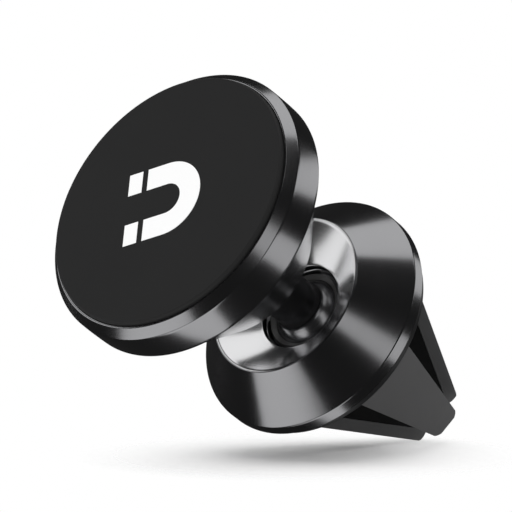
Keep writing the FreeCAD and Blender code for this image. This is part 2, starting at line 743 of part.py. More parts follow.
def make_rear_ring():
    """Black ring pressed into the knob, with a lip behind the closing ring."""
    outer = knob_r - dim["rear_ring_step"]
    lip_y_front = closing_rear_y + dim["ring_gap"]
    return turned("rear_ring", [
        (spigot_bore_r, closing_front_y), (knob_bore_r, closing_front_y),
        (knob_bore_r, rim_rear_y), (outer, rim_rear_y), (outer, ring_rear_y),
        (rear_lip_r, ring_rear_y), (rear_lip_r, lip_y_front), (spigot_bore_r, lip_y_front),
    ])


def make_closing_ring():
    """Ring that slides without turning: four tabs keep it between the jaws."""
    ring = disc("closing_ring", closing_r, closing_front_y, closing_rear_y, closing_bore_r)
    tab = new_sketch(ring, "tab_outline", "YZ_Plane")
    bottom = closing_bore_r
    top = bottom + dim["closing_tab_height"]
    overlap = dim["closing_ring_length"] / 2
    draw(tab, [(closing_rear_y - overlap, bottom + dim["ring_gap"]),
               (closing_rear_y + dim["closing_tab_length"], bottom + dim["ring_gap"]),
               (closing_rear_y + dim["closing_tab_length"], top),
               (closing_rear_y - overlap, top)])
    tabs = pad(ring, "tabs", tab, dim["closing_tab_width"])
    ring_pattern(ring, "tabs_round_ring", [tabs], JAW_COUNT)
    return ring


# ---- jaws ----
def jaw_section(sketch, outer_height, half_width, depth):
    """A wedge whose sides lean at 45 degrees, so that they face the blades squarely."""
    inner_half = half_width - depth
    draw(sketch, [(-half_width, outer_height), (-inner_half, outer_height - depth),
                  (inner_half, outer_height - depth), (half_width, outer_height)])


def jaw_taper(distance):
    """Outer face's height and half width at a distance from the heel."""
    share = distance / dim["jaw_length"]
    height = heel_r - (heel_r - dim["tip_radius"]) * share
    width = dim["heel_width"] - (dim["heel_width"] - dim["tip_width"]) * share
    return height, width / 2


def wedge(body, name, start, end, skin, depths):
    """Loft a tapering wedge between two distances from the heel."""
    sketches = []
    for end_name, distance, depth in (("heel", start, depths[0]), ("tip", end, depths[1])):
        height, half = jaw_taper(distance)
        sketch = new_sketch(body, f"{name}_{end_name}", "XZ_Plane", -(heel_y + distance))
        jaw_section(sketch, height - skin, half - skin, depth)
        sketches.append(sketch)
    loft = body.newObject("PartDesign::AdditiveLoft", f"{name}_loft")
    loft.Profile = sketches[0]
    loft.Sections = [sketches[1]]
    loft.Ruled = True
    return loft


def make_jaw_plate(index):
    """Hard plastic jaw: tapering plate, pivot tongue, turned heel and round toe."""
    name = f"jaw_plate_{index + 1}"
    body = new_body(name)
    thickness = dim["jaw_plate_thickness"]
    wedge(body, name, size(0), dim["jaw_length"], size(0), (thickness, thickness))
    doc.recompute()
    lug = dim["lug_radius"]
    rise = pivot_r
    tongue_back = dim["grip_start"] - dim["side_gap"]
    back_height = jaw_taper(tongue_back)[0] - thickness / 2
    front_height = jaw_taper(pivot_y - heel_y)[0] - thickness / 2
    inner_edge = spreader_circle_r + spreader_r + dim["side_gap"]
    spreader_y = knob_edge_y + dim["spreader_depth"]
    diagonal = math.sqrt(0.5)
    tongue = new_sketch(body, name + "_tongue_outline", "YZ_Plane")
    draw(tongue, [
        (pivot_y - lug, rise), ("arc", pivot_y - lug * diagonal, rise - lug * diagonal),
        (pivot_y, rise - lug), (pivot_y + lug / 2, rise - lug),
        (spreader_y - spreader_r, inner_edge), (spreader_y + spreader_r / 2, inner_edge),
        (heel_y + tongue_back, back_height), (pivot_y - lug, front_height),
    ])
    pad(body, name + "_tongue", tongue, dim["tongue_width"])
    doc.recompute()
    hole = new_sketch(body, name + "_hole_outline", "YZ_Plane")
    add_circle(hole, pivot_y, rise, dim["pin_diameter"] / 2 + dim["running_gap"])
    pocket(body, name + "_hole", hole, dim["heel_width"])
    doc.recompute()
    relief_heel(body, name)
    doc.recompute()
    round_toe(body, name)
    body.Placement = jaw_placement(index)
    return body


def relief_heel(body, name):
    """Turn the heel down so that it clears the rear ring."""
    sketch = new_sketch(body, name + "_relief_outline", "XY_Plane")
    inner = rear_lip_r - dim["heel_gap"]
    outer = heel_r + dim["heel_width"]
    front = heel_y - dim["end_gap"]
    back = heel_y + dim["heel_relief_length"]
    draw(sketch, [(inner, front), (outer, front), (outer, back), (inner, back)])
    groove = body.newObject("PartDesign::Groove", name + "_relief")
    groove.Profile = sketch
    groove.ReferenceAxis = (sketch, ["V_Axis"])
    groove.Angle = FULL_TURN


def round_toe(body, name):
    """Round the tip, seen from the side and from outside."""
    radius = dim["toe_radius"]
    diagonal = 1 - math.sqrt(0.5)
    outside = dim["tip_radius"] + heel_r
    side = new_sketch(body, name + "_toe_side_outline", "YZ_Plane")
    height = jaw_taper(dim["jaw_length"] - radius)[0]
    draw(side, [
        (tip_y - radius, height), ("arc", tip_y - radius * diagonal, height - radius * diagonal),
        (tip_y, height - radius), (tip_y + radius, height - radius), (tip_y + radius, outside),
        (tip_y - radius, outside),
    ])
    pocket(body, name + "_toe_side", side, dim["heel_width"])
    doc.recompute()
    plan = new_sketch(body, name + "_toe_plan_outline", "XY_Plane")
    start = tip_y - dim["toe_plan_radius"]
    half = jaw_taper(dim["jaw_length"] - dim["toe_plan_radius"])[1]
    wide = dim["heel_width"]
    lean = math.sqrt(0.75)
    draw(plan, [
        (-half, start), ("arc", -half * 0.5, start + dim["toe_plan_radius"] * lean),
        (size(0), tip_y),
        ("arc", half * 0.5, start + dim["toe_plan_radius"] * lean), (half, start),
        (wide, start), (wide, tip_y + radius), (-wide, tip_y + radius), (-wide, start),
    ])
    pocket(body, name + "_toe_plan", plan, heel_r * 2)


def make_jaw_grip(index):
    """Rubber wedge under the plate, whose two faces press on the blades."""
    name = f"jaw_grip_{index + 1}"
    body = new_body(name)
    start = dim["grip_start"]
    end = dim["jaw_length"] - dim["grip_end"]
    skin = dim["jaw_plate_thickness"]
    depths = [jaw_taper(place)[1] - skin - keel for place, keel in
              ((start, dim["grip_keel"] / 2), (end, dim["grip_keel"] / 4))]
    wedge(body, name, start, end, skin, depths)
    body.Placement = jaw_placement(index)
    return body


def build():
    """Make every sub-part; the last of each list names its node."""
    emblem = make_emblem()
    nodes = [emblem, make_face_pad(emblem), make_bezel(), make_back_shell(), make_magnets()]
    nodes.append(disc("pad_tape", carrier_r, tape_y, carrier_y))
    nodes += [make_magnet_carrier(), make_yoke_plate(), make_yoke_screws(), make_spin_bush()]
    nodes += [make_ball_stud(), make_stud_screw(), make_ball_liner()]
    nodes.append(disc("spin_washer", dim["washer_diameter"] / 2, washer_y, stud_end_y,
                      dim["stud_screw_diameter"] / 2))
    nodes += [make_socket_cap(), make_clip_hub(), make_jaw_pins(), make_spreader_ring()]
    nodes += [make_knob_shell(), make_rear_ring(), make_closing_ring()]
    nodes.append(disc("thread_insert", insert_r, dish_wall_y,
                      dish_wall_y + dim["thread_pitch"] * dim["insert_turns"], insert_bore_r))
    nodes.append(disc("drag_ring", thread_r, dish_wall_y,
                      dish_wall_y + dim["drag_ring_thickness"],
                      cap_r + dim["side_gap"]))
    for index in range(JAW_COUNT):
        nodes += [make_jaw_plate(index), make_jaw_grip(index)]
    return nodes


def check_and_write(nodes):
    """Stop on any failed object, then write each sub-part."""
    doc.recompute()
    for item in doc.Objects:
        if "Invalid" in item.State or "Error" in item.State:
            raise RuntimeError(f"{item.Label} failed: {item.State}")
    for node in nodes:
        if node.Shape.isNull() or not node.Shape.isValid():
            raise RuntimeError(f"{node.Label} has no valid shape")
    os.makedirs("parts", exist_ok=True)
    for node in nodes:
        node.Shape.exportStep(f"parts/{node.Label}.step")
        box = node.Shape.BoundBox
        print(f"{node.Label}: {len(node.Shape.Solids)} solid(s), {node.Shape.Volume:.1f} mm3, "
              f"y {box.YMin:.2f} to {box.YMax:.2f}")


check_and_write(build())
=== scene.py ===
"""Looks of a magnetic phone mount for a car's air vent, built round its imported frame.

Lengths are metres. The mount's axis is Y: the phone's face is towards -Y and the vent
blade is at the origin.
"""
import json
import math

import bmesh
import bpy
from bpy.props import FloatProperty, FloatVectorProperty, IntProperty, PointerProperty
from mathutils import Matrix, Vector


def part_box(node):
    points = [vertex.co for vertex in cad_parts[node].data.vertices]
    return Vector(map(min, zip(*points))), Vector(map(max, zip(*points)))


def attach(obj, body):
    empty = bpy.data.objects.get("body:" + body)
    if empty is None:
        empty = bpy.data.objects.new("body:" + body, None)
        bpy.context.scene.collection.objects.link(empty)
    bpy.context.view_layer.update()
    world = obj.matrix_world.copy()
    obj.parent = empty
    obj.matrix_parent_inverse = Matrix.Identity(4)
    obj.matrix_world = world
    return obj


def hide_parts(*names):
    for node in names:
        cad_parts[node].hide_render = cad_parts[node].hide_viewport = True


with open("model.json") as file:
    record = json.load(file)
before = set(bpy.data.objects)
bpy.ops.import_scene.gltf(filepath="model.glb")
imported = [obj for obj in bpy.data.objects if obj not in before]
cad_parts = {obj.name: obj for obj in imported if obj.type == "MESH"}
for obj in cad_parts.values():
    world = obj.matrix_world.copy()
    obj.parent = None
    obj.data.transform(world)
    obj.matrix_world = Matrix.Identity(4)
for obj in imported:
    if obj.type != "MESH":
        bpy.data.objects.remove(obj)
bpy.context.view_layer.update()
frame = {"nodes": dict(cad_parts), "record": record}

bl_info = {
    "name": "Vent mount looks",
    "version": (1, 0, 0),
    "blender": (4, 5, 0),
    "location": "View3D > Sidebar > Vent mount",
    "description": "Builds the visible pieces, finishes and stage of a magnetic vent mount",
    "category": "Object",
}

MM = 0.001
JAWS = 4
AXIS = Vector((0, 1, 0))

# Points closer than this are one point, on a spun piece and on a copied one.
SPIN_WELD = 0.0001 * MM
COPY_WELD = 0.001 * MM
# Faces that meet at less than FLAT_ANGLE are merged. On the jaws, edges over SHARP_ANGLE are
# rounded and what is then still sharper is shaded as an edge; the clip has its own angle.
FLAT_ANGLE = math.radians(1.0)
SHARP_ANGLE = math.radians(40)
CLIP_SHARP_ANGLE = math.radians(32)
# Roundings above LARGE_ROUNDING get more segments.
LARGE_ROUNDING = 0.6 * MM
LARGE_SEGMENTS = 8
SMALL_SEGMENTS = 3
EDGE_SEGMENTS = 2
# Steps along the curved parts of the outlines.
EMBLEM_STEPS = 32
BAND_STEPS = 10
DISH_STEPS = 14
BALL_STEPS = 40
# The dish's brighter copy of the metal covers faces this far inside the lip and down to this far
# past the floor.
LIP_MARGIN = 0.1 * MM
FLOOR_MARGIN = 0.05 * MM
# A softbox's upright shorter than this is taken from another direction.
SHORT_UPRIGHT = 0.5
FLOOR_SEGMENTS = 64
CAMERA_NEAR = 10 * MM
CAMERA_FAR = 10000 * MM


def length(name, description, millimetres):
    """A size property, given in millimetres and kept in metres."""
    return FloatProperty(name=name, description=description, default=millimetres * MM,
                         min=0.0, unit="LENGTH", precision=5)


def colour(name, description, value):
    """A linear colour property."""
    return FloatVectorProperty(name=name, description=description, default=value,
                               min=0.0, max=1.0, size=3, subtype="COLOR")


def amount(name, description, value, top=1.0):
    """A plain number between 0 and its top."""
    return FloatProperty(name=name, description=description, default=value, min=0.0, max=top)


class MountSizes(bpy.types.PropertyGroup):
    """Sizes that the frame's boxes don't give."""

    steps: IntProperty(name="Turned steps", description="Faces round a turned piece",
                       default=240, min=48, max=480)
    stem_steps: IntProperty(name="Stem steps", description="Faces round the ball stud",
                            default=120, min=48, max=480)
    edge: length("Broken edge", "Rounding of a machined metal edge", 0.09)
    fine_edge: length("Fine edge", "Rounding of a moulded plastic edge", 0.16)
    pad_edge: length("Pad edge", "Rounding of the face pad's rim", 0.3)
    lip_radius: length("Lip radius", "Bezel's front lip", 18.8)
    bevel_length: length("Bevel length", "Bezel's front bevel along the axis", 1.2)
    bevel_edge: length("Bevel edge", "Rounding between the bezel's bevel and band", 0.072)
    band_drop: length("Band drop", "Bezel band's ends below its crown", 0.04)
    groove_width: length("Groove width", "Groove between the bezel and the back shell", 0.9)
    bore_gap: length("Bore gap", "Clearance round the face pad", 0.05)
    shell_rear_radius: length("Shell rear radius", "Back shell's small end", 10.0)
    shell_round: length("Shell round", "Rounding of the back shell's small end", 1.6)
    shell_wall: length("Shell wall", "Back shell's wall", 1.7)
    shell_floor: length("Shell floor", "Back shell's rear wall", 2.2)
    neck_radius: length("Neck radius", "Ball stud's neck", 3.45)
    neck_fillet: length("Neck fillet", "Rounding where the neck meets the ball", 0.5)
    shank_radius: length("Shank radius", "Ball stud's shank inside the head", 2.5875)
    shoulder_gap: length("Shoulder gap", "Neck's shoulder behind the back shell", 0.1)
    dish_lip: length("Dish lip", "Radius of the knob's dish at its lip", 11.9)
    dish_lip_width: length("Dish lip width", "Flat of the dish's lip", 0.3)
    dish_hole: length("Dish hole", "Radius of the hole for the stem", 6.3)
    dish_depth: length("Dish depth", "Dish's floor behind its lip", 3.6)
    dish_bow: length("Dish bow", "How far the dish's wall is hollowed", 0.12)
    dish_wall: length("Dish wall", "Knob's wall at the hole", 0.85)
    rim_width: length("Rim width", "Knob's band along the axis", 1.85)
    rim_edge: length("Rim edge", "Rounding between the knob's cone and band", 0.144)
    rim_wall: length("Rim wall", "Knob's wall round the rear ring", 1.3)
    ring_wall: length("Ring wall", "Rear ring's spigot", 1.2)
    ring_edge: length("Ring edge", "Rounding of the rear ring's outer edge", 0.24)
    ring_lip: length("Ring lip", "Rear ring's lip inside its spigot", 0.55)
    ring_lip_length: length("Ring lip length", "Rear ring's lip along the axis", 0.9)
    emblem_lift: length("Emblem lift", "Thickness of the printed mark", 0.04)
    emblem_radius: length("Emblem radius", "Outer bend of the printed horseshoe", 5.6)
    emblem_arm: length("Emblem arm", "Width of the horseshoe's arms", 3.3)
    emblem_leg: length("Emblem leg", "Straight part of each arm", 3.4)
    emblem_gap: length("Emblem gap", "Gap between an arm and its pole tip", 0.9)
    emblem_pole: length("Emblem pole", "Length of each pole tip", 2.2)


class MountFinishes(bpy.types.PropertyGroup):
    """Colours and gloss that a user would change."""

    metal: colour("Anodised metal", "Gloss black anodised aluminium", (0.36, 0.36, 0.37))
    # Inside the dish the metal gets a brighter colour than the rest of the knob, so its
    # reflections come out about twice as bright.
    dish: colour("Brighter dish", "Brighter metal inside the knob's dish", (0.8, 0.8, 0.81))
    pad: colour("Pad", "Silicone face pad", (0.0155, 0.0155, 0.0158))
    mark: colour("Mark", "Printed mark", (0.88, 0.88, 0.88))
    jaw: colour("Jaw", "Moulded jaw plates", (0.075, 0.075, 0.076))
    rubber: colour("Rubber", "Grips and rings", (0.004, 0.004, 0.0041))
    ring: colour("Rear ring", "Dark moulded ring of the knob", (0.012, 0.012, 0.0125))
    floor: colour("Floor", "Pale floor under the mount", (0.97, 0.97, 0.97))
    gloss: amount("Metal roughness", "Roughness of the anodised metal", 0.17)
    steel_gloss: amount("Steel roughness", "Roughness of the blackened steel", 0.23)


class StageSettings(bpy.types.PropertyGroup):
    """Camera and stage."""

    azimuth: FloatProperty(name="Azimuth", description="Camera's turn about the vertical",
                           default=math.radians(37.95), subtype="ANGLE")
    elevation: FloatProperty(name="Elevation", description="Camera above the horizon",
                             default=math.radians(31.6), subtype="ANGLE")
    roll: FloatProperty(name="Roll", description="Camera's turn about its own line of sight",
                        default=math.radians(72.86), subtype="ANGLE")
    distance: length("Distance", "Camera to the point it aims at", 550.6)
    aim: FloatVectorProperty(name="Aim", description="Point in the middle of the view",
                             default=(-6.195 * MM, -36.39 * MM, -3.93 * MM), subtype="XYZ")
    lens: FloatProperty(name="Lens", description="Focal length in millimetres", default=281.25)
    floor_tilt: FloatProperty(name="Floor tilt", description="Camera above the floor's plane",
                              default=math.radians(3.5), subtype="ANGLE")
    floor_radius: length("Floor radius", "Half width of the floor", 2500.0)
    floor_gap: length("Floor gap", "Floor below the mount's lowest point", 0.1)
    floor_full: length("Floor full", "The floor is solid out to this radius", 10.0)
    floor_clear: length("Floor clear", "The floor is gone from this radius on", 34.0)
    ambient: amount("Ambient", "Soft light from all round", 1.0, 4.0)
    mirrored: amount("Mirrored", "The soft light that reflections show", 0.02)
    softbox_range: length("Softbox range", "Softboxes to the mount", 600.0)


# ---- finishes ----
class Flow:
    """A shader value that takes part in Python arithmetic by adding Math nodes."""

    def __init__(self, finish, socket):
        self.finish = finish
        self.socket = socket

    def math(self, operation, first, second=0.0):
        node = self.finish.add("ShaderNodeMath", {"operation": operation}, {0: first, 1: second})
        return Flow(self.finish, node.outputs[0])

    def __add__(self, other):
        return self.math("ADD", self, other)

    def __radd__(self, other):
        return self.math("ADD", other, self)

    def __sub__(self, other):
        return self.math("SUBTRACT", self, other)

    def __mul__(self, other):
        return self.math("MULTIPLY", self, other)

    def root(self):
        return self.math("SQRT", self)


class Finish:
    """One material: a Principled shader, its output and the nodes that feed it."""

    def __init__(self, name):
        self.material = bpy.data.materials.new(name)
        self.material.use_nodes = True
        self.tree = self.material.node_tree
        self.tree.nodes.clear()
        self.skin = self.add("ShaderNodeBsdfPrincipled")
        self.add("ShaderNodeOutputMaterial", inputs={"Surface": self.skin.outputs["BSDF"]})
        self.place = self.add("ShaderNodeTexCoord").outputs["Object"]

    def add(self, kind, settings=None, inputs=None):
        """Add a node: its settings first, then the values or links of its sockets."""
        node = self.tree.nodes.new(kind)
        for key, value in (settings or {}).items():
            setattr(node, key, value)
        for key, value in (inputs or {}).items():
            self.feed(node.inputs[key], value)
        return node

    def feed(self, socket, value):
        value = value.socket if isinstance(value, Flow) else value
        if isinstance(value, bpy.types.NodeSocket):
            self.tree.links.new(value, socket)
        else:
            socket.default_value = value

    def set(self, **values):
        """Set the Principled shader's sockets, with underscores for spaces."""
        for key, value in values.items():
            self.feed(self.skin.inputs[key.replace("_", " ")], value)

    def noise(self, scale, detail, place=None):
        """Noise between 0 and 1 with features about 1 / scale metres across."""
        node = self.add("ShaderNodeTexNoise", inputs={
            "Vector": place or self.place, "Scale": scale, "Detail": detail})
        return Flow(self, node.outputs["Fac"])

    def turned_place(self):
        """Coordinates of a turned surface: radius and station, the same all the way round."""
        parts = self.add("ShaderNodeSeparateXYZ", inputs={"Vector": self.place})
        across, along, upward = (Flow(self, parts.outputs[axis]) for axis in "XYZ")
        radius = (across * across + upward * upward).root()
        return self.add("ShaderNodeCombineXYZ", inputs={"X": radius, "Y": along}).outputs["Vector"]

    def tint(self, rgb, change, spread):
        """Lighten and darken a colour by a pattern that runs from 0 to 1."""
        shade = 1.0 + (change - 0.5) * spread
        node = self.add("ShaderNodeVectorMath", {"operation": "SCALE"},
                        {0: tuple(rgb), "Scale": shade})
        self.feed(self.skin.inputs["Base Color"], node.outputs["Vector"])

    def bump(self, height, depth):
        """Raise and lower the surface by a pattern that runs from 0 to 1."""
        node = self.add("ShaderNodeBump", inputs={
            "Height": height, "Distance": depth, "Strength": 1.0})
        self.feed(self.skin.inputs["Normal"], node.outputs["Normal"])


def turned_metal(name, rgb, gloss, ring_trace=0.04, cloud_trace=0.02):
    """Polished, anodised metal with the faint rings that a lathe leaves."""
    finish = Finish(name)
    rings = finish.noise(scale=2600.0, detail=3.0, place=finish.turned_place())
    cloud = finish.noise(scale=240.0, detail=2.0)
    least = gloss - (ring_trace + cloud_trace) / 2
    finish.set(Metallic=1.0, Roughness=least + rings * ring_trace + cloud * cloud_trace)
    finish.tint(rgb, cloud, spread=0.05)
    finish.bump(rings, depth=0.0004 * MM)
    return finish.material


def moulded_plastic(name, rgb, roughness, grain_size, grain_depth,
                    grain_trace=0.06, flow_trace=0.04):
    """Moulded plastic with a fine grain and a slight flow pattern."""
    finish = Finish(name)
    grain = finish.noise(scale=1.0 / grain_size, detail=3.0)
    flow = finish.noise(scale=160.0, detail=3.0)
    least = roughness - (grain_trace + flow_trace) / 2
    finish.set(Roughness=least + grain * grain_trace + flow * flow_trace, IOR=1.46)
    finish.tint(rgb, flow, spread=0.10)
    finish.bump(grain, depth=grain_depth)
    return finish.material


def soft_rubber(name, rgb, roughness, bloom_trace=0.06):
    """Matt rubber or silicone: fine tooth, a trace of sheen, slight bloom."""
    finish = Finish(name)
    tooth = finish.noise(scale=7000.0, detail=2.0)
    bloom = finish.noise(scale=120.0, detail=4.0)
    finish.set(Roughness=roughness + bloom * bloom_trace, IOR=1.42, Specular_IOR_Level=0.3,
               Sheen_Weight=0.05, Sheen_Roughness=0.4)
    finish.tint(rgb, bloom, spread=0.10)
    finish.bump(tooth, depth=0.006 * MM)
    return finish.material


def bright_metal(name, rgb, gloss, ring_trace=0.08):
    """Plated or turned metal of the small inner fittings."""
    finish = Finish(name)
    rings = finish.noise(scale=3200.0, detail=2.0, place=finish.turned_place())
    cloud = finish.noise(scale=700.0, detail=2.0)
    finish.set(Metallic=1.0, Roughness=gloss + rings * ring_trace)
    finish.tint(rgb, cloud, spread=0.12)
    finish.bump(rings, depth=0.001 * MM)
    return finish.material


def printed_ink(name, rgb, roughness=0.5, weave_trace=0.1):
    """Screen-printed ink: flat, a little uneven in coverage."""
    finish = Finish(name)
    weave = finish.noise(scale=5000.0, detail=2.0)
    finish.set(Roughness=roughness + weave * weave_trace)
    finish.tint(rgb, weave, spread=0.03)
    finish.bump(weave, depth=0.002 * MM)
    return finish.material


INNER_PLASTICS = {
    # material slot: colour, roughness, size and depth of the grain
    "clip_plastic": ((0.016, 0.016, 0.0165), 0.5, 0.15 * MM, 0.004 * MM),
    "carrier_plastic": ((0.03, 0.03, 0.03), 0.5, 0.2 * MM, 0.004 * MM),
    "nylon": ((0.05, 0.05, 0.05), 0.4, 0.3 * MM, 0.002 * MM),
    "adhesive": ((0.6, 0.58, 0.5), 0.6, 0.4 * MM, 0.004 * MM),
}
INNER_METALS = {
    # material slot: colour, least roughness
    "nickel_plate": ((0.75, 0.74, 0.70), 0.14),
    "zinc_steel": ((0.60, 0.60, 0.61), 0.26),
    "brass": ((0.75, 0.60, 0.30), 0.24),
}


def make_finishes(colours):
    """Every finish of the mount by the name of the record's material slot."""
    made = {
        "gloss_black_aluminium": turned_metal("gloss_black", colours.metal, colours.gloss),
        # A brighter copy of the anodised metal, for the faces inside the knob's dish.
        "brighter_dish": turned_metal("brighter_dish_metal", colours.dish, colours.gloss),
        "black_steel": turned_metal("black_steel", colours.metal, colours.steel_gloss),
        "pad_silicone": soft_rubber("pad_silicone", colours.pad, roughness=0.62),
        "black_rubber": soft_rubber("black_rubber", colours.rubber, roughness=0.66),
        "white_print": printed_ink("white_print", colours.mark),
        "jaw_plastic": moulded_plastic("jaw_plastic", colours.jaw, roughness=0.5,
                                       grain_size=0.12 * MM, grain_depth=0.004 * MM),
        "ring_plastic": moulded_plastic("ring_plastic", colours.ring, roughness=0.32,
                                        grain_size=0.2 * MM, grain_depth=0.002 * MM),
    }
    for slot, values in INNER_PLASTICS.items():
        made[slot] = moulded_plastic(slot, *values)
    for slot, values in INNER_METALS.items():
        made[slot] = bright_metal(slot, *values)
    return made


finishes = {}


def slot_of(node):
    """The record's material slot of a CAD node."""
    entries = frame["record"]["subparts"]
    return next(entry["material_slot"] for entry in entries if entry["node"] == node)


def body_of(node):
    """The record's body that a CAD node moves with."""
    bodies = frame["record"]["behaviour"]["bodies"]
    return next(body for body, nodes in bodies.items() if node in nodes)


# ---- ways of making a piece ----
def station(node):
    """(front, rear, radius) of a turned CAD node: its ends along Y and its greatest radius."""
    low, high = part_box(node)
    return low.y, high.y, high.x


def new_piece(name, mesh_data, node):
    """Turn a finished bmesh into a piece that stands for a CAD node and rides on its body."""
    mesh = bpy.data.meshes.new(name)
    mesh_data.to_mesh(mesh)
    mesh_data.free()
    piece = bpy.data.objects.new(name, mesh)
    bpy.context.scene.collection.objects.link(piece)
    slot = slot_of(node)
    mesh.materials.append(finishes[slot])
    mesh.shade_smooth()
    weighted = piece.modifiers.new("Weighted normals", "WEIGHTED_NORMAL")
    weighted.keep_sharp = True
    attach(piece, body_of(node))
    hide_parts(node)
    return piece


def outline_wire(points, edge):
    """A closed outline of (radius, station) points in a new bmesh, its corners rounded.

    A point may carry its own rounding as a third number.
    """
    wire = bmesh.new()
    corners = [wire.verts.new((0, point[1], point[0])) for point in points]
    for first, second in zip(corners, corners[1:] + corners[:1]):
        wire.edges.new((first, second))
    for corner, point in zip(corners, points):
        rounding = point[2] if len(point) > 2 else edge
        if rounding:
            segments = LARGE_SEGMENTS if rounding > LARGE_ROUNDING else SMALL_SEGMENTS
            bmesh.ops.bevel(wire, geom=[corner], offset=rounding, offset_type="OFFSET",
                            segments=segments, profile=0.5, affect="VERTICES", material=-1)
    return wire


def turn(points, edge, steps):
    """Spin an outline of (radius, station) points all the way round the mount's axis."""
    wire = outline_wire(points, edge)
    bmesh.ops.spin(wire, geom=wire.verts[:] + wire.edges[:], cent=(0, 0, 0), axis=AXIS,
                   angle=math.tau, steps=steps, use_merge=True)
    bmesh.ops.remove_doubles(wire, verts=wire.verts, dist=SPIN_WELD)
    bmesh.ops.recalc_face_normals(wire, faces=wire.faces)
    return wire


def bowed(start, end, bow, count):
    """Points on a shallow curve between two (radius, station) points, ends left out."""
    start, end = Vector(start), Vector(end)
    side = (end - start).orthogonal().normalized() * bow
    inner = []
    for index in range(1, count):
        share = index / count
        point = start.lerp(end, share) + side * (4 * share * (1 - share))
        inner.append((point.x, point.y, 0))
    return inner


def merged_copy(node):
    """A bmesh copy of a CAD node with its loose triangles merged into faces."""
    copy = bmesh.new()
    copy.from_mesh(frame["nodes"][node].data)
    bmesh.ops.remove_doubles(copy, verts=copy.verts, dist=COPY_WELD)
    bmesh.ops.dissolve_limit(copy, angle_limit=FLAT_ANGLE, verts=copy.verts,
                             edges=copy.edges, delimit=set())
    return copy


def break_edges(solid, edge):
    """Round every edge of a solid that is sharper than SHARP_ANGLE."""
    sharp = [e for e in solid.edges if len(e.link_faces) == 2
             and e.calc_face_angle(0) > SHARP_ANGLE]
    bmesh.ops.bevel(solid, geom=sharp, offset=edge, offset_type="OFFSET",
                    segments=EDGE_SEGMENTS, profile=0.5, affect="EDGES",
                    clamp_overlap=True, material=-1)


def make_jaw_pieces(sizes, node_name, piece_name):
    """One piece with broken edges for each jaw's copy of a CAD node."""
    for number in range(1, JAWS + 1):
        node = f"{node_name}_{number}"
        solid = merged_copy(node)
        break_edges(solid, sizes.fine_edge)
        piece = new_piece(f"{piece_name}_{number}", solid, node)
        piece.data.set_sharp_from_angle(angle=SHARP_ANGLE)


# ---- magnetic head ----
class VENTMOUNT_OT_face_pad(bpy.types.Operator):
    """Silicone face pad with a rounded rim"""

    bl_idname = "ventmount.face_pad"
    bl_label = "Face pad"

    def execute(self, context):
        sizes = context.scene.mount_sizes
        front, rear, radius = station("face_pad")
        pad = turn([(0, front, 0), (radius, front, sizes.pad_edge), (radius, rear), (0, rear, 0)],
                   sizes.edge, sizes.steps)
        new_piece("silicone_pad", pad, "face_pad")
        return {"FINISHED"}


class VENTMOUNT_OT_emblem(bpy.types.Operator):
    """Plain horseshoe magnet printed on the pad"""

    bl_idname = "ventmount.emblem"
    bl_label = "Printed mark"

    def execute(self, context):
        sizes = context.scene.mount_sizes
        outer = sizes.emblem_radius
        inner = outer - sizes.emblem_arm
        leg_end = -sizes.emblem_leg
        pole_start = leg_end - sizes.emblem_gap
        pole_end = pole_start - sizes.emblem_pole
        mark = bmesh.new()
        self.add_patch(mark, [*self.bend(outer, 1), (-outer, leg_end), (-inner, leg_end),
                              *self.bend(inner, -1), (inner, leg_end), (outer, leg_end)])
        for side in (-1, 1):
            self.add_patch(mark, [(side * inner, pole_start), (side * outer, pole_start),
                                  (side * outer, pole_end), (side * inner, pole_end)])
        raised = bmesh.ops.extrude_face_region(mark, geom=mark.faces[:])["geom"]
        corners = [item for item in raised if isinstance(item, bmesh.types.BMVert)]
        bmesh.ops.translate(mark, verts=corners, vec=(0, -sizes.emblem_lift, 0))
        bmesh.ops.recalc_face_normals(mark, faces=mark.faces)
        piece = new_piece("printed_mark", mark, "emblem")
        piece.data.shade_flat()
        return {"FINISHED"}

    def bend(self, radius, way):
        """Points round the horseshoe's bend, from right to left when way is 1."""
        angles = [math.pi * step / EMBLEM_STEPS for step in range(EMBLEM_STEPS + 1)]
        return [(way * radius * math.cos(angle), radius * math.sin(angle)) for angle in angles]

    def add_patch(self, mark, points):
        """A flat patch on the pad's face, from points across and upward."""
        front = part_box("face_pad")[0].y
        corners = [mark.verts.new((across, front, upward)) for across, upward in points]
        edges = [mark.edges.new(pair) for pair in zip(corners, corners[1:] + corners[:1])]
        bmesh.ops.contextual_create(mark, geom=edges)


class VENTMOUNT_OT_bezel(bpy.types.Operator):
    """Turned metal bezel: lip, bevel and crowned band"""

    bl_idname = "ventmount.bezel"
    bl_label = "Bezel ring"

    def execute(self, context):
        sizes = context.scene.mount_sizes
        front, rear, crown = station("bezel_ring")
        bore = station("face_pad")[2] + sizes.bore_gap
        band = crown - sizes.band_drop
        band_front = front + sizes.bevel_length
        outline = [(bore, front), (sizes.lip_radius, front), (band, band_front, sizes.bevel_edge)]
        outline += bowed((band, band_front), (band, rear), -sizes.band_drop, BAND_STEPS)
        outline += [(band, rear), (bore, rear)]
        new_piece("bezel_band", turn(outline, sizes.edge, sizes.steps), "bezel_ring")
        return {"FINISHED"}


